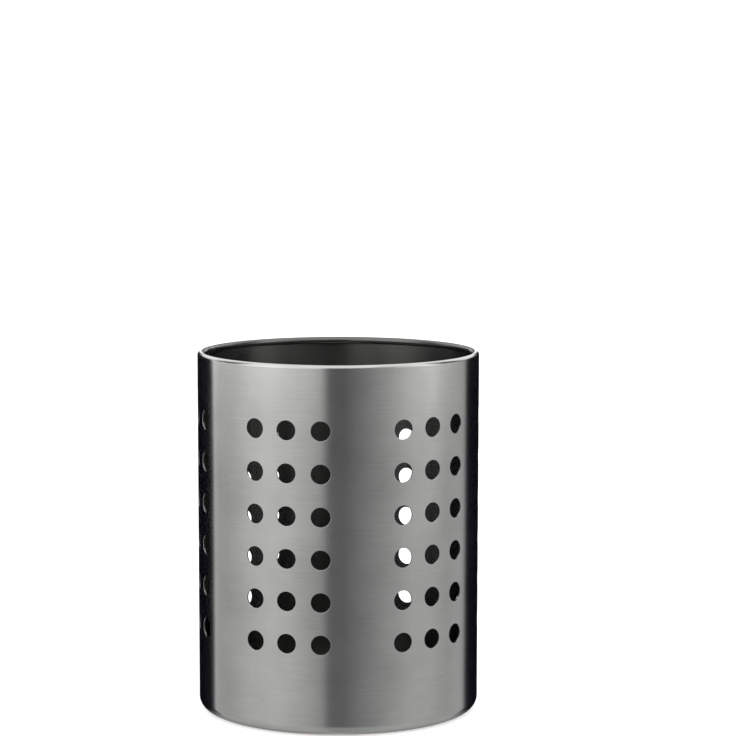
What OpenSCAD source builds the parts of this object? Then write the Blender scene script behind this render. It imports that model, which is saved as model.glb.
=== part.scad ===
// Perforated holder for kitchen tools, in rolled stainless steel sheet.
// Millimetres, +Z up, origin at the centre of the standing ring, front towards -Y.
// Angles round the wall are counted from the front, positive towards +X.

/* [Overall] */
// Outside diameter of the wall
outer_d = 120; // [105:1:140]
// Height from the standing ring to the top of the rim
height = 154; // [135:1:200]
// Thickness of the sheet that the wall is rolled from
sheet_t = 0.6; // [0.5:0.1:0.8]

/* [Rolled rim] */
// Outside diameter of the bead that the top edge is curled into
bead_d = 3; // [2.8:0.1:4]
// Angle that the sheet is curled through, from the outer face over the top and round inside
curl_angle = 290; // [270:5:295]
// Gap between the stiffening wire and the sheet round it
wire_clear = 0.1; // [0.05:0.01:0.2]

/* [Foot] */
// Outside radius of the corner where the wall turns in at the bottom
foot_r = 5; // [3:0.5:8]
// Width of the flat ring that the holder stands on
foot_ring_w = 6; // [4:0.5:10]

/* [Base] */
// Thickness of the base disc
base_t = 0.6; // [0.5:0.1:1.2]
// Height that the middle of the disc is pressed up
base_rise = 1.5; // [0.5:0.1:4]
// Width of the disc's flat edge, which lies on the standing ring
base_seat_w = 8; // [4:0.5:12]
// Width of the slope from the flat edge up to the raised middle
base_slope_w = 5; // [2:0.5:10]
// Gap between the disc's edge and the start of the wall's corner
base_clear = 0.1; // [0.05:0.05:0.5]

/* [Welds] */
// Width of the weld that closes the rolled sheet
seam_w = 1.2; // [0.8:0.1:2]
// Where that weld lies round the wall, in degrees
seam_angle = -108.9; // [-180:0.1:180]
// Width of the weld bead along the base disc's edge
base_weld_w = 2; // [1.4:0.1:3]

/* [Perforations] */
// Diameter of each hole
hole_d = 8.2; // [5:0.1:9]
// Groups of holes round the wall
groups = 6; // [2:1:6]
// Columns of holes in a group
group_columns = 3; // [1:1:3]
// Holes in a column
rows = 6; // [1:1:6]
// Angle from one column of a group to the next
column_step = 14; // [12:0.1:15]
// Distance from one hole of a column to the next
row_pitch = 17.7; // [12:0.1:18]
// Distance from the top of the rim down to the centres of the top row
top_row_drop = 26.9; // [18:0.1:30]
// Angle between the middles of the two groups beside the seam
seam_group_gap = 53.5; // [48:0.5:60]

/* [Hidden] */

$fn = 96;

// How far every cut runs past what it cuts
overrun = 1;

// Wall
outer_r = outer_d / 2;
inner_r = outer_r - sheet_t;

// Rim: the bead stays inside the wall's outer face
bead_r = bead_d / 2;
bead_axis_r = outer_r - bead_r;
bead_axis_z = height - bead_r;
wire_r = bead_r - sheet_t - wire_clear;

// Foot: the corner's axis, and the inner edge of the standing ring
corner_axis_r = outer_r - foot_r;
foot_inner_r = corner_axis_r - foot_ring_w;

// Base disc
base_edge_r = corner_axis_r - base_clear;
base_seat_inner_r = base_edge_r - base_seat_w;
base_middle_r = base_seat_inner_r - base_slope_w;
base_top_z = sheet_t + base_t;

// Holes
group_step = (360 - seam_group_gap) / (groups - 1);
first_group_angle = seam_angle + seam_group_gap / 2;
top_row_z = height - top_row_drop;

// Section of the upright part of the sheet, from the foot's corner to the bead
module upright_section() {
    translate([inner_r, foot_r])
        square([sheet_t, bead_axis_z - foot_r]);
}

// Section of the bead: a ring, open where the sheet's edge ends
module bead_section() {
    reach = 2 * bead_d;
    middle_angle = (curl_angle + 360) / 2;
    translate([bead_axis_r, bead_axis_z])
        difference() {
            circle(r = bead_r);
            circle(r = bead_r - sheet_t);
            polygon([
                [0, 0],
                reach * [cos(curl_angle), sin(curl_angle)],
                reach * [cos(middle_angle), sin(middle_angle)],
                [reach, 0]
            ]);
        }
}

// Section of the foot: the rounded corner and the flat ring inside it
module foot_section() {
    translate([foot_inner_r, 0])
        square([foot_ring_w, sheet_t]);
    translate([corner_axis_r, foot_r])
        intersection() {
            difference() {
                circle(r = foot_r);
                circle(r = foot_r - sheet_t);
            }
            translate([0, -foot_r])
                square(foot_r);
        }
}

// Section of the whole sheet, foot to rim
module sheet_section() {
    upright_section();
    bead_section();
    foot_section();
}

// Section of the base disc, pressed up in the middle
module base_section() {
    polygon([
        [0, sheet_t + base_rise],
        [base_middle_r, sheet_t + base_rise],
        [base_seat_inner_r, sheet_t],
        [base_edge_r, sheet_t],
        [base_edge_r, base_top_z],
        [base_seat_inner_r, base_top_z],
        [base_middle_r, base_top_z + base_rise],
        [0, base_top_z + base_rise]
    ]);
}

// The sheet as a closed tube, before it is pierced
module closed_sheet() {
    rotate_extrude()
        sheet_section();
}

// The narrow slot along the seam, through the whole section on one side
module seam_slot() {
    depth = outer_r - foot_inner_r + 2 * overrun;
    rotate([0, 0, seam_angle])
        translate([-seam_w / 2, -outer_r - overrun, -overrun])
            cube([seam_w, depth, height + 2 * overrun]);
}

// One hole through the front of the wall
module hole(z) {
    translate([0, overrun - inner_r, z])
        rotate([90, 0, 0])
            cylinder(d = hole_d, h = sheet_t + 2 * overrun);
}

// Every hole: rows and columns of a group, and the groups round the wall
module perforations() {
    for (group = [0 : groups - 1], column = [0 : group_columns - 1], row = [0 : rows - 1]) {
        column_angle = (column - (group_columns - 1) / 2) * column_step;
        rotate([0, 0, first_group_angle + group * group_step + column_angle])
            hole(top_row_z - row * row_pitch);
    }
}

// Rolled sheet with its holes, its curled rim and its turned-in foot
module perforated_wall() {
    color("#A8A9A6")
        difference() {
            closed_sheet();
            seam_slot();
            perforations();
        }
}

// Butt weld that closes the sheet, ground flush, from the foot ring to the rim
module wall_seam() {
    color("#8C8D8B")
        intersection() {
            closed_sheet();
            seam_slot();
        }
}

// Wire inside the curled rim
module rim_wire() {
    color("#BEBFBD")
        rotate_extrude()
            translate([bead_axis_r, bead_axis_z])
                circle(r = wire_r);
}

// Disc that closes the bottom and lies on the standing ring
module base_plate() {
    color("#9B9C99")
        rotate_extrude()
            base_section();
}

// Weld bead in the corner between the disc's edge and the wall
module base_weld() {
    color("#7F807E")
        rotate_extrude()
            difference() {
                translate([base_edge_r, base_top_z])
                    circle(d = base_weld_w);
                sheet_section();
                base_section();
            }
}

perforated_wall();
wall_seam();
rim_wire();
base_plate();
base_weld();
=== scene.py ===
"""Looks for a round perforated holder of brushed stainless steel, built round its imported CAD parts.

Lengths are in metres. Angles round the wall are counted from the front, which faces -Y, towards +X.
"""

import math

import bpy
import numpy as np
from bpy.props import FloatProperty, FloatVectorProperty, IntProperty, PointerProperty
from bpy.types import Operator, Panel, PropertyGroup
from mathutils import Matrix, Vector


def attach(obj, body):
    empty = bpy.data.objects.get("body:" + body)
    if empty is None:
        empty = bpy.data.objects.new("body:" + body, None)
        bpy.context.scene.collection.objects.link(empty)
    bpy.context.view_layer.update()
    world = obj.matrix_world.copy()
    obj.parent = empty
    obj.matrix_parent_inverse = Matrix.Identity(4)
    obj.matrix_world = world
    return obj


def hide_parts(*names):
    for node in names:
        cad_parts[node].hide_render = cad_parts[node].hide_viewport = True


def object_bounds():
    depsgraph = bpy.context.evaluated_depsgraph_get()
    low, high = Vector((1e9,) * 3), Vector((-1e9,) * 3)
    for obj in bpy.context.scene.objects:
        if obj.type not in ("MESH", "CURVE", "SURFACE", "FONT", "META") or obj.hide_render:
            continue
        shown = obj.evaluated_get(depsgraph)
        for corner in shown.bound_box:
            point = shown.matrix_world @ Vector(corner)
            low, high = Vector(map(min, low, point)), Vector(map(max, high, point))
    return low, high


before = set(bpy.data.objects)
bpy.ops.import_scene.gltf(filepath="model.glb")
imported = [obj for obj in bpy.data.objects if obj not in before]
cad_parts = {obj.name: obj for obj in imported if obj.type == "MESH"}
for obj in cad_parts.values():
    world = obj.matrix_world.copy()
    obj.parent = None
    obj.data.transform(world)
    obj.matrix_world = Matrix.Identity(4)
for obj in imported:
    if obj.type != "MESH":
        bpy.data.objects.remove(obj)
CAD_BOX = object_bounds()

bl_info = {
    "name": "Perforated cutlery holder",
    "version": (1, 0, 0),
    "blender": (4, 5, 0),
    "location": "3D View > Sidebar > Cutlery holder",
    "description": "Builds a round holder of brushed stainless steel round its packed CAD parts",
    "category": "Add Mesh",
}

MM = 0.001
LOW, HIGH = CAD_BOX
CAD_RADIUS = min(-LOW.x, HIGH.x, -LOW.y, HIGH.y)
CAD_HEIGHT = HIGH.z - LOW.z
BRUSH_MAP = "brush_map"
OUTER_FACE = "outer_face"
# Sockets of a Mix node for colours, and the two values of one for plain numbers
MIX_A, MIX_B, MIX_OUT = 6, 7, 2
NUMBER_A, NUMBER_B = 2, 3

# Steps of the wall's section: foot ring, foot corner, curl, sheet edge, plain stretch; and of
# a cell with one hole, both ways
RING_STEPS, BEND_STEPS, CURL_STEPS, EDGE_STEPS, PLAIN_STEPS, CELL_STEPS = 2, 10, 36, 4, 8, 10
# Steps of the quarter circles at a hole's outer and inner edge
OUTER_EDGE_STEPS, INNER_EDGE_STEPS = 4, 2
# A hole's inner edge is rounded by this share of its outer edge
INNER_EDGE_SHARE = 0.2
# The seam: points across, share of its half width that is sunk, and depth as a share of the sheet
SEAM_POINTS = 21
SEAM_SUNK_SHARE = 0.2
SEAM_SUNK_DEPTH = 0.05
# The disc: points over its raised middle, slope, seat and edge, and round the axis
MIDDLE_POINTS, SLOPE_POINTS, SEAT_POINTS, DISC_EDGE_POINTS, DISC_SIDES = 9, 13, 5, 7, 144
# The bead: length of a ripple, its height as a share of the radius, points along it and round
WELD_RIPPLE = 1.3 * MM
RIPPLE_SHARE = 0.10
RIPPLE_POINTS, BEAD_SIDES = 5, 12
# The tent: rings between its two poles, and points on each
TENT_RINGS, TENT_SIDES = 31, 64

# Patterns of the brushed sheet: grit 180 leaves lines 0.08 mm apart, which are drawn 0.35 mm
# apart so that they show, and belt pressure changes over a few centimetres
SCRATCH_GAP, SCRATCH_LENGTH = 0.35 * MM, 30 * MM
SCRATCH_DEPTH = 0.01 * MM
CLOUD_SIZE = 22 * MM
# Tone of the brushed face: its start, what scratches and clouds add to it, and the sums at which
# it reaches the dark and the light colour
TONE_START, SCRATCH_TONE, CLOUD_TONE = 0.2, 0.6, 0.9
DARK_TONE, LIGHT_TONE = 0.65, 1.25
# Most of a noise lies between these two values
NOISE_LOW, NOISE_HIGH = 0.25, 0.75
# Roughness of the brushed face at its smoothest and roughest, and how far it draws highlights out
BRUSHED_SMOOTH, BRUSHED_ROUGH = 0.205, 0.235
BRUSHED_STRETCH = 0.83
# Roughness of the inner face
MILL_ROUGH = 0.26
# Steel of the other pieces varies by this much to both sides of its roughness
ROUGH_SPREAD = 0.05

# Light that the steel reflects, as (degrees round the tent from the front, level): black card
# behind on both sides, a dim strip in front, and the white surround straight behind. Between
# them hangs cloth, bright in its upper part and dimmer below.
TENT_LOW = (
    (-180, 0.95), (-168, 0.95), (-164, 0.003), (-117.4, 0.003), (-115.4, 0.80), (-110, 0.48),
    (-96, 0.48), (-72, 0.62), (-54, 0.67), (-38, 0.63), (-13, 0.39), (-7, 0.15), (4, 0.15),
    (38, 0.38), (57, 0.52), (76, 0.53), (96, 0.44), (108, 0.50), (118, 0.48), (123, 0.003),
    (164, 0.003), (168, 0.95), (180, 0.95),
)
TENT_HIGH = (
    (-180, 0.20), (-175, 0.20), (-172.5, 1.40), (-167, 1.40), (-164, 0.003), (-118.3, 0.003),
    (-116.3, 1.95), (-110, 1.35), (-86, 1.20), (-56, 1.50), (-13, 0.90), (-7, 0.06), (4, 0.06),
    (18, 0.18), (37, 0.50), (76, 1.48), (95, 1.10), (108, 0.60), (118, 0.48), (123, 0.003),
    (164, 0.003), (167, 1.40), (172.5, 1.40), (175, 0.20), (180, 0.20),
)
# Share of the tent's height at which the ceiling starts, round the tent: lower over the cards
TENT_TOP = (
    (-180, 0.95), (-175, 0.95), (-172, 0.755), (-118, 0.755), (-110, 0.92), (-45, 0.92),
    (-18, 0.82), (18, 0.82), (45, 0.92), (110, 0.92), (118, 0.755), (172, 0.755), (175, 0.95),
    (180, 0.95),
)
# Half the height, as a share of the tent's, over which the cloth turns into the ceiling
TENT_TOP_EDGE = 0.015
# Shade that hangs high up at both sides, round the tent, as (degrees, share of the light that it
# takes), and the shares of the tent's height between which it sets in
TENT_SHADE = (
    (-180, 0.0), (-121, 0.0), (-117, 0.9), (-90, 0.9), (-80, 0.0), (80, 0.0), (90, 0.9), (117, 0.9),
    (121, 0.0), (180, 0.0),
)
SHADE_START, SHADE_FULL = 0.69, 0.72
# Up the tent, as (share of its height, level): how much of the upper cloth is seen; how far down
# the cards, the strip and the cloth reach, with their faint mirror image in the table; and the
# table and the ceiling themselves
TENT_RISE = ((0.0, 0.0), (0.587, 0.0), (0.647, 1.0), (1.0, 1.0))
TENT_FOOT = ((0.0, 0.35), (0.22, 0.35), (0.31, 1.0), (1.0, 1.0))
TENT_ENDS = ((0.0, 0.45), (0.20, 0.58), (0.45, 0.58), (0.55, 1.2), (1.0, 1.2))
# Blue that the tent's light has over its grey, which shows only in the black card
TENT_CAST = 0.0035

# Camera: width of its sensor in mm, and the nearest and farthest that it sees in metres
SENSOR_WIDTH = 36
CLIP_START, CLIP_END = 0.05, 50


def linear(hex_colour):
    """The linear colour of an sRGB hex value such as #A8A9A6."""
    levels = np.array([int(hex_colour[i : i + 2], 16) for i in (1, 3, 5)]) / 255
    return tuple(np.where(levels <= 0.04045, levels / 12.92, ((levels + 0.055) / 1.055) ** 2.4))


def length(name, default, description):
    """A length property with its default in metres."""
    return FloatProperty(
        name=name, description=description, default=default, min=0.0, unit="LENGTH", precision=5
    )


def angle(name, degrees, description):
    """An angle property with its default in degrees."""
    return FloatProperty(
        name=name, description=description, default=math.radians(degrees), subtype="ANGLE"
    )


def colour(name, hex_colour, description):
    """A colour property with its default as an sRGB hex value."""
    return FloatVectorProperty(
        name=name, description=description, default=linear(hex_colour), size=3, subtype="COLOR",
        min=0.0, max=1.0,
    )


class HolderSizes(PropertyGroup):
    """Sizes of the sheet, its holes, its rim and foot, and the disc that closes it."""

    outer_radius: length("Outer radius", CAD_RADIUS, "Radius of the wall's outer face")
    height: length("Height", CAD_HEIGHT, "From the surface it stands on to the top of the rim")
    sheet: length("Sheet", 0.6 * MM, "Thickness of the steel sheet")
    rim_radius: length("Rim radius", 1.5 * MM, "Radius of the curled rim, outside")
    curl: angle("Curl", 290, "How far round the rim's curl goes")
    foot_radius: length("Foot radius", 5 * MM, "Radius of the rounded corner at the foot, outside")
    foot_ring: length("Foot ring", 6 * MM, "Width of the flat ring that it stands on")
    hole_diameter: length("Hole diameter", 8.2 * MM, "Diameter of each hole")
    punched_edge: length("Punched edge", 0.14 * MM, "How far a hole's outer edge is rounded over")
    row_pitch: length("Row pitch", 17.7 * MM, "From one row of holes to the next")
    top_row_drop: length("Top row drop", 26.9 * MM, "From the rim's top to the top row of holes")
    column_step: angle("Column step", 14, "From one column of a group to the next")
    seam_angle: angle("Seam angle", -108.9, "Where the sheet's two edges meet")
    seam_gap: angle("Seam gap", 53.5, "Between the groups' middles on either side of the seam")
    seam_width: length("Seam width", 1.2 * MM, "Width of the ground weld")
    base_edge_radius: length("Disc radius", 54.9 * MM, "Radius of the disc that closes the bottom")
    base_seat_radius: length("Seat radius", 46.9 * MM, "Inside radius of the disc's flat seat")
    base_middle_radius: length("Middle radius", 41.9 * MM, "Radius of the disc's raised middle")
    base_rise: length("Rise", 1.5 * MM, "How far the disc's middle is pressed up")
    weld_radius: length("Weld radius", 1.0 * MM, "Radius of the weld bead round the disc")
    groups: IntProperty(name="Groups", description="Groups of holes", default=6, min=1)
    columns: IntProperty(name="Columns", description="Columns in a group", default=3, min=1)
    rows: IntProperty(name="Rows", description="Rows of holes", default=6, min=1)


class HolderFinishes(PropertyGroup):
    """Colours of the steel in its different finishes."""

    brushed: colour("Brushed sheet", "#D0D0CE", "Brushed stainless sheet, light streaks")
    brushed_dark: colour("Brushed sheet, dark", "#BEBEBC", "Brushed stainless sheet, dark streaks")
    # The inner face and the punched bores: the rolling mill's finish, with a grey darkened far below
    # bare steel as painted shade, so the inside and the holes stay dark
    mill_and_painted_shade: colour("Inside", "#747472", "The sheet's inner face, as it left the rolling mill")
    seam: colour("Ground weld", "#B9B8B5", "Weld ground flush with the sheet")
    wire: colour("Drawn wire", "#BEBFBD", "Wire inside the rim")
    base: colour("Pressed disc", "#ACABA7", "Rolled sheet, as it leaves the press")
    weld: colour("Weld bead", "#7F7D78", "Weld as it cooled")
    straw: colour("Heat tint", "#9A968F", "Straw tint beside the weld")


class StudioSettings(PropertyGroup):
    """Camera, floor and light."""

    camera_reach: length("Camera reach", 1156.81 * MM, "From the wall's axis to the camera")
    target_height: length("Target height", 115.01 * MM, "Height on the axis the camera looks at")
    pitch: angle("Pitch", 7.879, "How far the camera looks down")
    lens: FloatProperty(
        name="Lens", description="Focal length in mm", default=132.26, unit="CAMERA"
    )
    shift_x: FloatProperty(name="Shift across", description="Framing, across", default=0.0404)
    shift_y: FloatProperty(name="Shift up", description="Framing, up", default=0.0992)
    tent_radius: length("Tent radius", 0.5, "Radius of the light tent that the steel reflects")
    tent_light: FloatProperty(name="Tent light", description="Strength of the tent", default=1.0)
    sky_light: FloatProperty(name="Sky light", description="Light on the floor", default=1.15)
    floor_size: length("Floor size", 8.0, "Side of the floor")
    floor: colour("Floor", "#F2F1EE", "Opal floor, lit from below")
    floor_glow: FloatProperty(
        name="Floor glow", description="Light through the floor", default=0.45
    )


# Surfaces


def round_axis(radius, turn, z):
    """Points at a radius, an angle and a height: x = r sin a, y = -r cos a, z = z."""
    radius, turn, z = np.broadcast_arrays(radius, turn, z)
    return np.stack((radius * np.sin(turn), -radius * np.cos(turn), z), -1)


def grid_quads(index):
    """Quads of a grid of vertex numbers: (i, j), (i, j+1), (i+1, j+1), (i+1, j)."""
    return np.stack((index[:-1, :-1], index[:-1, 1:], index[1:, 1:], index[1:, :-1]), -1)


def arc(centre, radius, start, end, steps):
    """Points and normals on an arc: centre + radius (cos t, sin t), with t from start to end."""
    t = np.linspace(start, end, steps + 1)
    normal = np.stack((np.cos(t), np.sin(t)), -1)
    return np.asarray(centre) + radius * normal, normal


def rounded_edge(point, normal, past, thickness):
    """Half circle round a sheet's edge, from one face to the other, without its two ends.

    Centre half a sheet behind the point, plus half a sheet times (cos t normal + sin t past).
    """
    t = np.linspace(0, math.pi, EDGE_STEPS + 1)[1:-1, None]
    turned = np.cos(t) * normal + np.sin(t) * past
    return point - normal * thickness / 2 + turned * thickness / 2, turned


def close_at_poles(rings, low, high):
    """Points and faces of rings round the axis, closed at a pole at either end.

    Rings holds the points of one ring in each row, from the lower pole's side to the upper one's
    as the section runs; low and high are the heights of the two poles on the axis.
    """
    rows, sides = rings.shape[:2]
    index = np.arange(rows * sides).reshape(rows, sides)
    index = np.hstack((index, index[:, :1]))
    poles = np.array([[0, 0, low], [0, 0, high]])
    low_pole, high_pole = np.full(sides, rows * sides), np.full(sides, rows * sides + 1)
    low_fan = np.stack((low_pole, index[0, 1:], index[0, :-1]), -1)
    high_fan = np.stack((index[-1, :-1], index[-1, 1:], high_pole), -1)
    faces = grid_quads(index).reshape(-1, 4).tolist() + low_fan.tolist() + high_fan.tolist()
    return np.concatenate((rings.reshape(-1, 3), poles)), faces


def path_length(points):
    """Distance along a row of points, from the first one."""
    steps = np.linalg.norm(np.diff(points, axis=0), axis=1)
    return np.concatenate(([0.0], np.cumsum(steps)))


def sheet_section(sizes, hole_heights):
    """Outer face of the rolled sheet as (radius, height) points with normals, from foot to rim.

    A flat ring, a quarter circle, the upright wall, then an arc for the curled rim.
    Also gives the number of the point at the first of hole_heights.
    """
    outer, foot, rim = sizes.outer_radius, sizes.foot_radius, sizes.rim_radius
    corner, curl_start = outer - foot, sizes.height - rim
    ring_radii = np.linspace(corner - sizes.foot_ring, corner, RING_STEPS + 1)[:-1]
    ring = np.stack((ring_radii, np.zeros(RING_STEPS)), -1)
    bend, bend_normals = arc((corner, foot), foot, -math.pi / 2, 0, BEND_STEPS)
    below = np.linspace(foot, hole_heights[0], PLAIN_STEPS + 1)[1:-1]
    above = np.linspace(hole_heights[-1], curl_start, PLAIN_STEPS + 1)[1:-1]
    heights = np.concatenate((below, hole_heights, above))
    upright = np.stack((np.full(len(heights), outer), heights), -1)
    curl, curl_normals = arc((outer - rim, curl_start), rim, 0, sizes.curl, CURL_STEPS)
    points = np.concatenate((ring, bend, upright, curl))
    ring_normals = np.tile((0.0, -1.0), (len(ring), 1))
    upright_normals = np.tile((1.0, 0.0), (len(upright), 1))
    normals = np.concatenate((ring_normals, bend_normals, upright_normals, curl_normals))
    return points, normals, len(ring) + len(bend) + len(below)


def closed_section(points, normals, thickness):
    """Closed loop round a sheet's section: outer face, one edge, inner face, other edge.

    The inner face lies one sheet behind the outer one. The third result is the distance along
    the outer face, which both faces share.
    """
    inner = points - normals * thickness
    past_end = np.array((-normals[-1][1], normals[-1][0]))
    past_start = np.array((normals[0][1], -normals[0][0]))
    end, end_normals = rounded_edge(points[-1], normals[-1], past_end, thickness)
    start, start_normals = rounded_edge(inner[0], -normals[0], past_start, thickness)
    along = path_length(points)
    loop = np.concatenate((points, end, inner[::-1], start))
    loop_normals = np.concatenate((normals, end_normals, -normals[::-1], start_normals))
    ends = np.full(EDGE_STEPS - 1, along[-1]), np.full(EDGE_STEPS - 1, along[0])
    return loop, loop_normals, np.concatenate((along, ends[0], along[::-1], ends[1]))


def hole_band(sizes):
    """Heights of the wall's vertices over the rows of holes, CELL_STEPS equal steps to a row."""
    low = sizes.height - sizes.top_row_drop - (sizes.rows - 0.5) * sizes.row_pitch
    return low + np.arange(sizes.rows * CELL_STEPS + 1) * sizes.row_pitch / CELL_STEPS


def end_caps(index, face_points):
    """Faces that close both ends of a closed section carried part of the way round the axis.

    Index holds its vertex numbers, with a column for each angle. The outer face has face_points
    of them, and the inner face as many. A cap is a strip between the faces and two half discs.
    """
    inner_row = 2 * face_points + EDGE_STEPS - 2
    rows = np.arange(face_points)
    edge_rows = face_points - 1 + np.arange(EDGE_STEPS + 1), np.arange(-EDGE_STEPS, 1)
    caps = []
    for side, order in ((0, 1), (-1, -1)):
        outer, inner = index[rows, side], index[inner_row - rows, side]
        strip = np.stack((outer[:-1], outer[1:], inner[1:], inner[:-1]), -1)
        caps += strip[:, ::order].tolist()
        caps += [index[ends, side][::order].tolist() for ends in edge_rows]
    return caps


def wall_turns(sizes):
    """Angles of the wall's vertices from one side of the seam round to the other.

    Each column of holes takes CELL_STEPS equal steps, each plain stretch PLAIN_STEPS.
    Also gives where each column of holes starts among them, and its middle angle.
    """
    half_seam = sizes.seam_width / 2 / sizes.outer_radius
    group_step = (2 * math.pi - sizes.seam_gap) / (sizes.groups - 1)
    half_group = sizes.columns * sizes.column_step / 2
    turns = np.array([sizes.seam_angle + half_seam])
    first, middles = [], []
    for group in range(sizes.groups):
        middle = sizes.seam_angle + sizes.seam_gap / 2 + group * group_step
        plain = np.linspace(turns[-1], middle - half_group, PLAIN_STEPS + 1)[1:]
        steps = sizes.columns * CELL_STEPS
        pierced = np.linspace(middle - half_group, middle + half_group, steps + 1)[1:]
        start = len(turns) + len(plain) - 1
        first.append(start + CELL_STEPS * np.arange(sizes.columns))
        offsets = (np.arange(sizes.columns) + 0.5) * sizes.column_step - half_group
        middles.append(middle + offsets)
        turns = np.concatenate((turns, plain, pierced))
    last = sizes.seam_angle + 2 * math.pi - half_seam
    closing = np.linspace(turns[-1], last, PLAIN_STEPS + 1)[1:]
    return np.concatenate((turns, closing)), np.concatenate(first), np.concatenate(middles)


def hole_rings(sizes):
    """Rings of a punched hole, from the outer face through the sheet to the inner face.

    Gives for each ring its share of the way from the cell's square outline to the hole, its
    radius, its depth under the outer face, and its normal's parts outwards and towards the hole's
    middle. The outer edge is a quarter circle of punched_edge, the inner edge one of a fifth of
    that, and one more ring lies halfway to the square outline on each face.
    """
    bore, over = sizes.hole_diameter / 2, sizes.punched_edge
    under, quarter = over * INNER_EDGE_SHARE, math.pi / 2
    outer_edge = arc((bore + over, over), over, -quarter, -2 * quarter, OUTER_EDGE_STEPS)
    inner_centre = bore + under, sizes.sheet - under
    inner_edge = arc(inner_centre, under, 2 * quarter, quarter, INNER_EDGE_STEPS)
    points, normals = (np.concatenate(parts) for parts in zip(outer_edge, inner_edge))
    radius, depth = np.pad(points, ((1, 1), (0, 0)), "edge").T
    inwards, outwards = -np.pad(normals, ((1, 1), (0, 0)), "edge").T
    share = np.ones(len(radius))
    share[[0, -1]] = 0.5
    return share, radius, depth, outwards, inwards


def cell_outline():
    """Vertices of a cell's square outline, as steps up and across from its lower left corner.

    Also gives the angle round the cell's middle that belongs to each, in equal steps.
    """
    step = np.arange(CELL_STEPS)
    none, full = np.zeros(CELL_STEPS, int), np.full(CELL_STEPS, CELL_STEPS)
    up = np.concatenate((none, step, full, CELL_STEPS - step))
    across = np.concatenate((step, full, CELL_STEPS - step, none))
    around = -0.75 * math.pi + np.arange(4 * CELL_STEPS) * math.pi / 2 / CELL_STEPS
    return up, across, around


def hole_patches(sizes, middles, cell_heights, foot_length):
    """Rings of points round every hole, for cells at the given heights and middle angles.

    Each point lies its ring's share of the way from the square outline to the ring's circle. The
    map counts along the sheet, which is foot_length more than the height. Gives points, normals,
    map places, and for each point whether it is on the outer face.
    """
    up, across, around = cell_outline()
    share, radius, depth, outwards, inwards = (part[:, None] for part in hole_rings(sizes))
    square = np.stack((across / CELL_STEPS - 0.5, up / CELL_STEPS - 0.5), -1)
    square = square * (sizes.column_step * sizes.outer_radius, sizes.row_pitch)
    circle = np.stack((np.cos(around), np.sin(around)), -1)
    local = square * (1 - share[..., None]) + circle * (radius * share)[..., None]
    turn = np.tile(middles, sizes.rows)[:, None, None] + local[..., 0] / sizes.outer_radius
    height = np.repeat(cell_heights, len(middles))[:, None, None] + local[..., 1]
    points = round_axis(sizes.outer_radius - depth, turn, height)
    normals = round_axis(outwards + 0 * turn, turn, -inwards * circle[:, 1] + 0 * turn)
    sideways = np.stack((np.cos(turn), np.sin(turn), 0 * turn), -1)
    normals -= (inwards * circle[:, 0])[..., None] * sideways
    places = np.stack((height + foot_length, turn * sizes.outer_radius), -1)
    # The bores count as off the outer face, so they take the inside's dark grey, which is painted
    # shade
    return points, normals, places, np.broadcast_to(depth < sizes.punched_edge / 2, turn.shape)


def perforated_sheet(sizes):
    """The wall: its closed section carried round the axis, with a patch of rings at each hole.

    A patch runs round the hole and from its square outline to the hole's edge, through the
    sheet, and out to the square outline on the inner face. It shares both outlines' vertices
    with the wall. Gives points, normals, map places (height, arc), faces, and for each point
    1 on the outer face, which ends at the rim's crest and in the holes' rounded edges, or 0.
    """
    hole_heights = hole_band(sizes)
    section, section_normals, first_row = sheet_section(sizes, hole_heights)
    loop, loop_normals, along = closed_section(section, section_normals, sizes.sheet)
    turns, first_column, middles = wall_turns(sizes)
    index = np.arange(len(loop) * len(turns)).reshape(len(loop), len(turns))
    points = round_axis(loop[:, :1], turns, loop[:, 1:])
    normals = round_axis(loop_normals[:, :1], turns, loop_normals[:, 1:])
    places = np.stack(np.broadcast_arrays(along[:, None], turns * sizes.outer_radius), -1)
    before_crest = np.zeros(len(loop))
    before_crest[: len(section)] = section_normals[:, 0] >= 0
    outer_face = np.tile(before_crest[:, None], len(turns))

    kept = np.ones((len(loop), len(turns) - 1), bool)
    inner_row = 2 * len(section) + EDGE_STEPS - 2
    pierced = (first_column[:, None] + np.arange(CELL_STEPS)).ravel()
    band = first_row + np.arange(sizes.rows * CELL_STEPS)
    kept[np.ix_(band, pierced)] = False
    kept[np.ix_(inner_row - 1 - band, pierced)] = False
    quads = grid_quads(np.vstack((index, index[:1])))[kept]

    up, across, _ = cell_outline()
    row, column = np.meshgrid(
        first_row + CELL_STEPS * np.arange(sizes.rows), first_column, indexing="ij"
    )
    rows, columns = row.reshape(-1, 1) + up, column.reshape(-1, 1) + across
    outline, inner_outline = index[rows, columns], index[inner_row - rows, columns]
    cell_heights = hole_heights[CELL_STEPS // 2 :: CELL_STEPS]
    foot_length = along[first_row] - hole_heights[0]
    ring_points, ring_normals, ring_places, ring_outer = hole_patches(
        sizes, middles, cell_heights, foot_length
    )
    new = index.size + np.arange(ring_outer.size).reshape(ring_outer.shape)
    patch = np.concatenate((outline[:, None], new, inner_outline[:, None]), 1)
    patch = np.concatenate((patch, patch[..., :1]), -1)
    patch_quads = grid_quads(np.moveaxis(patch, 0, -1)).reshape(-1, 4)

    points = np.concatenate((points.reshape(-1, 3), ring_points.reshape(-1, 3)))
    normals = np.concatenate((normals.reshape(-1, 3), ring_normals.reshape(-1, 3)))
    places = np.concatenate((places.reshape(-1, 2), ring_places.reshape(-1, 2)))
    outer_face = np.concatenate((outer_face.ravel(), ring_outer.ravel()))
    faces = quads.reshape(-1, 4).tolist() + patch_quads.tolist() + end_caps(index, len(section))
    return points, normals, places, faces, outer_face


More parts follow.
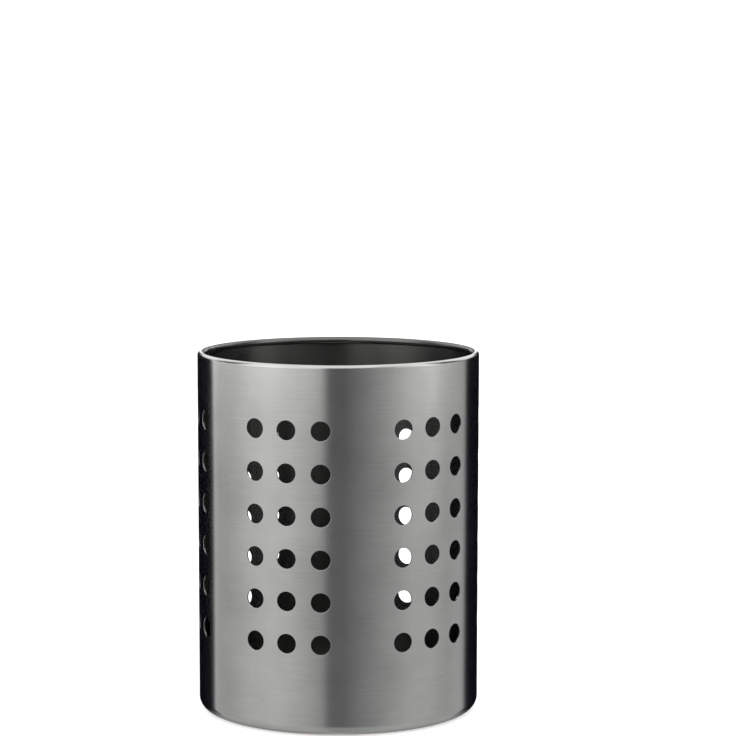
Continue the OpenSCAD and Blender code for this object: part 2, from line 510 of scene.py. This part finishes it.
def seam_strip(sizes):
    """The ground weld: the wall's closed section carried across the seam's width.

    Both faces sink by a twentieth of the sheet over the outer fifth of the width, as
    1 - sqrt(1 - s^2) with s from 0 to 1, so the weld shows as a fine line.
    """
    section, section_normals, _ = sheet_section(sizes, hole_band(sizes))
    loop, loop_normals, along = closed_section(section, section_normals, sizes.sheet)
    across = np.linspace(-1, 1, SEAM_POINTS)
    edge = np.clip((np.abs(across) - (1 - SEAM_SUNK_SHARE)) / SEAM_SUNK_SHARE, 0, 1)
    sunk = SEAM_SUNK_DEPTH * sizes.sheet * (1 - np.sqrt(1 - edge**2))
    arc_place = across * sizes.seam_width / 2
    turn = sizes.seam_angle + arc_place / sizes.outer_radius
    radius = loop[:, :1] - loop_normals[:, :1] * sunk
    points = round_axis(radius, turn, loop[:, 1:] - loop_normals[:, 1:] * sunk)
    places = np.stack(np.broadcast_arrays(along[:, None], arc_place), -1)
    index = np.arange(radius.size).reshape(radius.shape)
    quads = grid_quads(np.vstack((index, index[:1]))).reshape(-1, 4)
    faces = quads.tolist() + end_caps(index, len(section))
    return points.reshape(-1, 3), places.reshape(-1, 2), faces


def pressed_disc(sizes):
    """The disc that closes the bottom, turned from a section that starts and ends on the axis.

    Its height over the seat is rise (3 s^2 - 2 s^3), with s from 0 at the seat to 1 at the
    raised middle. Its edge is a half circle of the sheet's thickness.
    """
    half = sizes.sheet / 2
    edge = sizes.base_edge_radius - half
    middle = np.linspace(0, sizes.base_middle_radius, MIDDLE_POINTS)[:-1]
    slope = np.linspace(sizes.base_middle_radius, sizes.base_seat_radius, SLOPE_POINTS)
    seat = np.linspace(sizes.base_seat_radius, edge, SEAT_POINTS)[1:]
    radii = np.concatenate((middle, slope, seat))
    width = sizes.base_seat_radius - sizes.base_middle_radius
    s = np.clip((sizes.base_seat_radius - radii) / width, 0, 1)
    under = sizes.sheet + sizes.base_rise * s * s * (3 - 2 * s)
    t = np.linspace(-math.pi / 2, math.pi / 2, DISC_EDGE_POINTS)[1:-1]
    rim = np.stack((edge + half * np.cos(t), sizes.sheet + half + half * np.sin(t)), -1)
    below = np.stack((radii, under), -1)
    above = np.stack((radii, under + sizes.sheet), -1)[::-1]
    section = np.concatenate((below, rim, above))
    turns = np.linspace(0, 2 * math.pi, DISC_SIDES + 1)[:-1]
    rings = round_axis(section[1:-1, :1], turns, section[1:-1, 1:])
    return close_at_poles(rings, section[0, 1], section[-1, 1])


def weld_bead(sizes):
    """The bead round the disc: a circle carried round the axis, its radius rippling as it goes.

    Radius = weld_radius (0.90 + 0.10 sqrt(1 - s^2)), with s from 0 to 1 along each ripple, which
    gives the overlapping scales of a bead laid in small steps.
    """
    ripples = round(2 * math.pi * sizes.base_edge_radius / WELD_RIPPLE)
    turns = np.linspace(0, 2 * math.pi, ripples * RIPPLE_POINTS + 1)[:-1]
    s = (turns * ripples / (2 * math.pi)) % 1.0
    size = sizes.weld_radius * (1 - RIPPLE_SHARE + RIPPLE_SHARE * np.sqrt(1 - s**2))
    t = np.linspace(0, 2 * math.pi, BEAD_SIDES + 1)[:-1, None]
    radius = sizes.base_edge_radius + size * np.cos(t)
    points = round_axis(radius, turns, 2 * sizes.sheet + size * np.sin(t))
    index = np.arange(radius.size).reshape(radius.shape)
    index = np.vstack((index, index[:1]))
    index = np.hstack((index, index[:, :1]))
    return points.reshape(-1, 3), grid_quads(index).reshape(-1, 4).tolist()


def floor_square(side):
    """The floor: a flat square in nine points, facing up, with x and y in two equal steps."""
    ticks = np.linspace(-side / 2, side / 2, 3)
    points = np.stack(np.broadcast_arrays(ticks, -ticks[:, None], 0.0), -1)
    index = np.arange(9).reshape(3, 3)[::-1]
    return points.reshape(-1, 3), grid_quads(index).reshape(-1, 4).tolist()


def tent_ball(radius):
    """The light tent: rings of radius r cos u at height r sin u, closed at two poles."""
    tilt = np.linspace(-math.pi / 2, math.pi / 2, TENT_RINGS + 2)[1:-1, None]
    turns = np.linspace(0, 2 * math.pi, TENT_SIDES + 1)[:-1]
    rings = round_axis(radius * np.cos(tilt), turns, radius * np.sin(tilt))
    return close_at_poles(rings, -radius, radius)


def add_mesh(name, points, faces, material, normals=None, places=None, outer_face=None):
    """A smooth-shaded object at the origin, with normals, a map and a face mask where given."""
    mesh = bpy.data.meshes.new(name)
    mesh.from_pydata(points.tolist(), [], faces)
    mesh.shade_smooth()
    mesh.materials.append(material)
    if places is not None:
        corner_points = np.empty(len(mesh.loops), np.int32)
        mesh.loops.foreach_get("vertex_index", corner_points)
        layer = mesh.uv_layers.new(name=BRUSH_MAP)
        layer.data.foreach_set("uv", places[corner_points].astype(np.float32).ravel())
    if outer_face is not None:
        mask = mesh.attributes.new(OUTER_FACE, "FLOAT", "POINT")
        mask.data.foreach_set("value", outer_face.astype(np.float32))
    if normals is not None:
        mesh.normals_split_custom_set_from_vertices(normals.tolist())
    made = bpy.data.objects.new(name, mesh)
    bpy.context.scene.collection.objects.link(made)
    return made


# Finishes


def add_node(tree, kind, values=None, links=None, **settings):
    """Adds a node, sets its properties and socket values, and links sockets to outputs."""
    made = tree.nodes.new(kind)
    for name, value in settings.items():
        setattr(made, name, value)
    for socket, value in (values or {}).items():
        made.inputs[socket].default_value = value
    for socket, source in (links or {}).items():
        tree.links.new(source, made.inputs[socket])
    return made


def new_material(name):
    """An empty node material."""
    made = bpy.data.materials.new(name)
    made.use_nodes = True
    made.node_tree.nodes.clear()
    return made, made.node_tree


def brushed_stainless(finishes):
    """Cold-rolled stainless sheet, belt-brushed round the holder on its outer face.

    The brushing draws highlights out up and down the wall and keeps them sharp across it, over
    fine level streaks and a slow change of tone where the belt pressed harder. The inner face
    and the punched bores take the mill's rougher finish and a much darker grey, which is painted
    shade that keeps the inside and the holes dark.
    """
    made, tree = new_material("brushed_stainless")
    place = add_node(tree, "ShaderNodeUVMap", uv_map=BRUSH_MAP)
    scratch_scale = add_node(
        tree, "ShaderNodeMapping", values={"Scale": (1 / SCRATCH_GAP, 1 / SCRATCH_LENGTH, 1)},
        links={"Vector": place.outputs["UV"]},
    )
    scratches = add_node(
        tree, "ShaderNodeTexNoise", values={"Scale": 1.0, "Detail": 3.0, "Roughness": 0.65},
        links={"Vector": scratch_scale.outputs["Vector"]}, noise_dimensions="2D",
    )
    object_place = add_node(tree, "ShaderNodeTexCoord")
    clouds = add_node(
        tree, "ShaderNodeTexNoise",
        values={"Scale": 1 / CLOUD_SIZE, "Detail": 3.0, "Roughness": 0.55},
        links={"Vector": object_place.outputs["Object"]},
    )
    tone = add_node(
        tree, "ShaderNodeMath", operation="MULTIPLY_ADD",
        values={1: SCRATCH_TONE, 2: TONE_START}, links={0: scratches.outputs["Fac"]},
    )
    mixed = add_node(
        tree, "ShaderNodeMath", operation="MULTIPLY_ADD",
        values={1: CLOUD_TONE}, links={0: clouds.outputs["Fac"], 2: tone.outputs["Value"]},
    )
    share = add_node(
        tree, "ShaderNodeMapRange", values={"From Min": DARK_TONE, "From Max": LIGHT_TONE},
        links={"Value": mixed.outputs["Value"]},
    )
    colour_mix = add_node(
        tree, "ShaderNodeMix", data_type="RGBA",
        values={MIX_A: (*finishes.brushed_dark, 1), MIX_B: (*finishes.brushed, 1)},
        links={0: share.outputs["Result"]},
    )
    outside = add_node(tree, "ShaderNodeAttribute", attribute_name=OUTER_FACE)
    # Painted shade: where the mask is 0, on the inner face and in the bores, the colour turns to the
    # dark inside grey
    sheet_colour = add_node(
        tree, "ShaderNodeMix", data_type="RGBA", values={MIX_A: (*finishes.mill_and_painted_shade, 1)},
        links={0: outside.outputs["Fac"], MIX_B: colour_mix.outputs[MIX_OUT]},
    )
    brushed_roughness = add_node(
        tree, "ShaderNodeMapRange",
        values={
            "From Min": NOISE_LOW, "From Max": NOISE_HIGH,
            "To Min": BRUSHED_SMOOTH, "To Max": BRUSHED_ROUGH,
        },
        links={"Value": clouds.outputs["Fac"]},
    )
    roughness = add_node(
        tree, "ShaderNodeMix", values={NUMBER_A: MILL_ROUGH},
        links={0: outside.outputs["Fac"], NUMBER_B: brushed_roughness.outputs["Result"]},
    )
    bump = add_node(
        tree, "ShaderNodeBump", values={"Strength": 0.1, "Distance": SCRATCH_DEPTH},
        links={"Height": scratches.outputs["Fac"]},
    )
    up_the_wall = add_node(tree, "ShaderNodeTangent", direction_type="UV_MAP", uv_map=BRUSH_MAP)
    steel = add_node(
        tree, "ShaderNodeBsdfPrincipled",
        values={"Metallic": 1.0, "Anisotropic": BRUSHED_STRETCH},
        links={
            "Base Color": sheet_colour.outputs[MIX_OUT], "Roughness": roughness.outputs[0],
            "Normal": bump.outputs["Normal"], "Tangent": up_the_wall.outputs["Tangent"],
        },
    )
    add_node(tree, "ShaderNodeOutputMaterial", links={"Surface": steel.outputs["BSDF"]})
    return made


def plain_steel(name, light, dark, grain, roughness, dent):
    """Steel that isn't brushed: two tones in grains of a given size, and dents of a given depth."""
    made, tree = new_material(name)
    place = add_node(tree, "ShaderNodeTexCoord")
    grains = add_node(
        tree, "ShaderNodeTexNoise", values={"Scale": 1 / grain, "Detail": 4.0, "Roughness": 0.6},
        links={"Vector": place.outputs["Object"]},
    )
    colour_mix = add_node(
        tree, "ShaderNodeMix", data_type="RGBA", values={MIX_A: (*dark, 1), MIX_B: (*light, 1)},
        links={0: grains.outputs["Fac"]},
    )
    rough = add_node(
        tree, "ShaderNodeMapRange",
        values={
            "From Min": NOISE_LOW, "From Max": NOISE_HIGH,
            "To Min": roughness - ROUGH_SPREAD, "To Max": roughness + ROUGH_SPREAD,
        },
        links={"Value": grains.outputs["Fac"]},
    )
    bump = add_node(
        tree, "ShaderNodeBump", values={"Strength": 0.4, "Distance": dent},
        links={"Height": grains.outputs["Fac"]},
    )
    steel = add_node(
        tree, "ShaderNodeBsdfPrincipled", values={"Metallic": 1.0},
        links={
            "Base Color": colour_mix.outputs[MIX_OUT], "Roughness": rough.outputs["Result"],
            "Normal": bump.outputs["Normal"],
        },
    )
    add_node(tree, "ShaderNodeOutputMaterial", links={"Surface": steel.outputs["BSDF"]})
    return made


def opal_floor(studio):
    """Opal acrylic, as on a light table: matt, evenly lit from below, with a trace of grain."""
    made, tree = new_material("opal_acrylic")
    place = add_node(tree, "ShaderNodeTexCoord")
    grain = add_node(
        tree, "ShaderNodeTexNoise", values={"Scale": 1 / (3 * MM)},
        links={"Vector": place.outputs["Object"]},
    )
    bump = add_node(
        tree, "ShaderNodeBump", values={"Strength": 0.05, "Distance": 0.05 * MM},
        links={"Height": grain.outputs["Fac"]},
    )
    opal = add_node(
        tree, "ShaderNodeBsdfPrincipled",
        values={
            "Base Color": (*studio.floor, 1), "Roughness": 0.9, "Specular IOR Level": 0.0,
            "Emission Color": (1, 1, 1, 1), "Emission Strength": studio.floor_glow,
        },
        links={"Normal": bump.outputs["Normal"]},
    )
    add_node(tree, "ShaderNodeOutputMaterial", links={"Surface": opal.outputs["BSDF"]})
    return made


def light_ramp(tree, share, stops, cast=0.0):
    """A ramp of grey levels over a share from 0 to 1, from (share, level) stops in order.

    Cast is the blue that every stop has over its grey.
    """
    ramp = add_node(tree, "ShaderNodeValToRGB", links={"Fac": share})
    elements = ramp.color_ramp.elements
    elements[0].position, elements[-1].position = stops[0][0], stops[-1][0]
    for position, _ in stops[1:-1]:
        elements.new(position)
    for element, (_, level) in zip(elements, stops):
        element.color = (level, level, level + cast, 1)
    return ramp.outputs["Color"]


def tent_light(studio):
    """White cloth with black card behind the holder on both sides and a dim strip in front.

    The level goes from one ramp round the tent to the other with height, and over into the
    table and the ceiling at its ends, and a shade hangs high up at both sides. Only the steel
    reflects it.
    """
    made, tree = new_material("light_tent")
    place = add_node(tree, "ShaderNodeTexCoord")
    xyz = add_node(tree, "ShaderNodeSeparateXYZ", links={"Vector": place.outputs["Object"]})
    front = add_node(
        tree, "ShaderNodeMath", operation="MULTIPLY", values={1: -1.0}, links={0: xyz.outputs["Y"]}
    )
    turn = add_node(
        tree, "ShaderNodeMath", operation="ARCTAN2",
        links={0: xyz.outputs["X"], 1: front.outputs["Value"]},
    )
    turn_share = add_node(
        tree, "ShaderNodeMapRange",
        values={"From Min": -math.pi, "From Max": math.pi}, links={"Value": turn.outputs["Value"]},
    )
    height_share = add_node(
        tree, "ShaderNodeMapRange",
        values={"From Min": -studio.tent_radius, "From Max": studio.tent_radius},
        links={"Value": xyz.outputs["Z"]},
    )
    low, high, top, shade = (
        light_ramp(
            tree, turn_share.outputs["Result"],
            [(degrees / 360 + 0.5, level) for degrees, level in stops], cast,
        )
        for stops, cast in (
            (TENT_LOW, TENT_CAST), (TENT_HIGH, TENT_CAST), (TENT_TOP, 0.0), (TENT_SHADE, 0.0)
        )
    )
    rise, foot, ends = (
        light_ramp(tree, height_share.outputs["Result"], stops)
        for stops in (TENT_RISE, TENT_FOOT, TENT_ENDS)
    )
    below_top = add_node(
        tree, "ShaderNodeMath", operation="SUBTRACT",
        links={0: top, 1: height_share.outputs["Result"]},
    )
    under_ceiling = add_node(
        tree, "ShaderNodeMapRange", values={"From Min": -TENT_TOP_EDGE, "From Max": TENT_TOP_EDGE},
        links={"Value": below_top.outputs["Value"]},
    )
    band = add_node(
        tree, "ShaderNodeMath", operation="MULTIPLY",
        links={0: foot, 1: under_ceiling.outputs["Result"]},
    )
    cloth = add_node(
        tree, "ShaderNodeMix", data_type="RGBA", links={0: rise, MIX_A: low, MIX_B: high}
    )
    in_shade = add_node(
        tree, "ShaderNodeMapRange",
        values={"From Min": SHADE_START, "From Max": SHADE_FULL},
        links={"Value": height_share.outputs["Result"], "To Max": shade},
    )
    shaded = add_node(
        tree, "ShaderNodeMix", data_type="RGBA", values={MIX_B: (0, 0, 0, 1)},
        links={0: in_shade.outputs["Result"], MIX_A: cloth.outputs[MIX_OUT]},
    )
    level = add_node(
        tree, "ShaderNodeMix", data_type="RGBA",
        links={0: band.outputs["Value"], MIX_A: ends, MIX_B: shaded.outputs[MIX_OUT]},
    )
    glow = add_node(
        tree, "ShaderNodeEmission", values={"Strength": studio.tent_light},
        links={"Color": level.outputs[MIX_OUT]},
    )
    add_node(tree, "ShaderNodeOutputMaterial", links={"Surface": glow.outputs["Emission"]})
    made.cycles.emission_sampling = "NONE"
    return made


def hide_from_all_but_steel(light):
    """Only reflections see this light: not the camera, the floor or a shadow."""
    light.visible_camera = False
    light.visible_diffuse = False
    light.visible_shadow = False
    light.visible_transmission = False


# The holder and its stage


class HOLDER_OT_wall(Operator):
    """The perforated wall, with its curled rim and turned-in foot"""

    bl_idname = "cutlery_holder.wall"
    bl_label = "Perforated wall"

    def execute(self, context):
        sizes, finishes = context.scene.holder_sizes, context.scene.holder_finishes
        points, normals, places, faces, outer_face = perforated_sheet(sizes)
        steel = brushed_stainless(finishes)
        wall = add_mesh("wall_sheet", points, faces, steel, normals, places, outer_face)
        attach(wall, "root")
        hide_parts("perforated_wall")
        return {"FINISHED"}


class HOLDER_OT_seam(Operator):
    """The ground weld that closes the wall"""

    bl_idname = "cutlery_holder.seam"
    bl_label = "Seam"

    def execute(self, context):
        sizes, finishes = context.scene.holder_sizes, context.scene.holder_finishes
        points, places, faces = seam_strip(sizes)
        # Ground with a flap wheel: a little duller than the brushing beside it, without its lines
        steel = plain_steel(
            "ground_weld_steel", finishes.seam, finishes.straw,
            grain=0.6 * MM, roughness=0.36, dent=0.01 * MM,
        )
        seam = add_mesh("seam_weld", points, faces, steel, places=places)
        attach(seam, "root")
        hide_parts("wall_seam")
        return {"FINISHED"}


class HOLDER_OT_base(Operator):
    """The pressed disc at the bottom and the weld bead round it"""

    bl_idname = "cutlery_holder.base"
    bl_label = "Base disc and its weld"

    def execute(self, context):
        sizes, finishes = context.scene.holder_sizes, context.scene.holder_finishes
        # Cold-rolled sheet as the press leaves it: smooth, a little cloudy
        pressed = plain_steel(
            "pressed_stainless", finishes.base, finishes.brushed_dark,
            grain=9 * MM, roughness=0.27, dent=0.02 * MM,
        )
        disc = add_mesh("base_disc", *pressed_disc(sizes), pressed)
        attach(disc, "root")
        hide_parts("base_plate")
        # Weld metal as it cooled: dull, with straw and grey oxide
        cooled = plain_steel(
            "weld_metal", finishes.weld, finishes.straw,
            grain=1.6 * MM, roughness=0.42, dent=0.03 * MM,
        )
        bead = add_mesh("base_bead", *weld_bead(sizes), cooled)
        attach(bead, "root")
        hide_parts("base_weld")
        return {"FINISHED"}


class HOLDER_OT_wire(Operator):
    """The finish of the wire inside the rim, whose CAD part stays"""

    bl_idname = "cutlery_holder.wire"
    bl_label = "Rim wire"

    def execute(self, context):
        finishes = context.scene.holder_finishes
        # Cold-drawn wire: bright, with a fine grain
        drawn = plain_steel(
            "drawn_steel_wire", finishes.wire, finishes.brushed_dark,
            grain=0.5 * MM, roughness=0.25, dent=0.01 * MM,
        )
        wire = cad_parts["rim_wire"]
        wire.data.materials.clear()
        wire.data.materials.append(drawn)
        return {"FINISHED"}


class HOLDER_OT_stage(Operator):
    """Floor, light and camera"""

    bl_idname = "cutlery_holder.stage"
    bl_label = "Stage"

    def execute(self, context):
        scene, studio = context.scene, context.scene.holder_studio
        floor = add_mesh("floor", *floor_square(studio.floor_size), opal_floor(studio))
        # The steel reflects the tent, and not the floor, and the floor throws no shadow on it
        floor.visible_glossy = False
        floor.visible_shadow = False

        tent = add_mesh("light_tent", *tent_ball(studio.tent_radius), tent_light(studio))
        hide_from_all_but_steel(tent)

        scene.world = bpy.data.worlds.new("white_surround")
        scene.world.use_nodes = True
        tree = scene.world.node_tree
        tree.nodes.clear()
        white = add_node(
            tree, "ShaderNodeBackground",
            values={"Color": (1, 1, 1, 1), "Strength": studio.sky_light},
        )
        add_node(tree, "ShaderNodeOutputWorld", links={"Surface": white.outputs["Background"]})
        scene.world.cycles_visibility.glossy = False
        scene.view_settings.view_transform = "Standard"

        data = bpy.data.cameras.new("camera")
        data.sensor_width = SENSOR_WIDTH
        data.lens = studio.lens
        data.shift_x, data.shift_y = studio.shift_x, studio.shift_y
        data.clip_start, data.clip_end = CLIP_START, CLIP_END
        camera = bpy.data.objects.new("camera", data)
        scene.collection.objects.link(camera)
        camera.location = (
            0,
            -studio.camera_reach * math.cos(studio.pitch),
            studio.target_height + studio.camera_reach * math.sin(studio.pitch),
        )
        camera.rotation_euler = (math.pi / 2 - studio.pitch, 0, 0)
        scene.camera = camera
        return {"FINISHED"}


OPERATORS = (HOLDER_OT_wall, HOLDER_OT_seam, HOLDER_OT_base, HOLDER_OT_wire, HOLDER_OT_stage)


class HOLDER_PT_build(Panel):
    """Lists what builds the holder, and the sizes and colours it is built from"""

    bl_label = "Cutlery holder"
    bl_idname = "HOLDER_PT_build"
    bl_space_type = "VIEW_3D"
    bl_region_type = "UI"
    bl_category = "Cutlery holder"

    def draw(self, context):
        for made in OPERATORS:
            self.layout.operator(made.bl_idname)
        for group in ("holder_sizes", "holder_finishes", "holder_studio"):
            box = self.layout.box()
            settings = getattr(context.scene, group)
            for name in settings.__annotations__:
                box.prop(settings, name)


GROUPS = {
    "holder_sizes": HolderSizes,
    "holder_finishes": HolderFinishes,
    "holder_studio": StudioSettings,
}


def register():
    """Registers the classes and adds the settings to the scene."""
    for made in (*GROUPS.values(), *OPERATORS, HOLDER_PT_build):
        bpy.utils.register_class(made)
    for name, group in GROUPS.items():
        setattr(bpy.types.Scene, name, PointerProperty(type=group))


def unregister():
    """Removes the settings and the classes."""
    for name in GROUPS:
        delattr(bpy.types.Scene, name)
    for made in (HOLDER_PT_build, *OPERATORS[::-1], *GROUPS.values()):
        bpy.utils.unregister_class(made)


def main():
    register()
    bpy.ops.cutlery_holder.wall()
    bpy.ops.cutlery_holder.seam()
    bpy.ops.cutlery_holder.base()
    bpy.ops.cutlery_holder.wire()
    bpy.ops.cutlery_holder.stage()


if __name__ == "__main__":
    main()
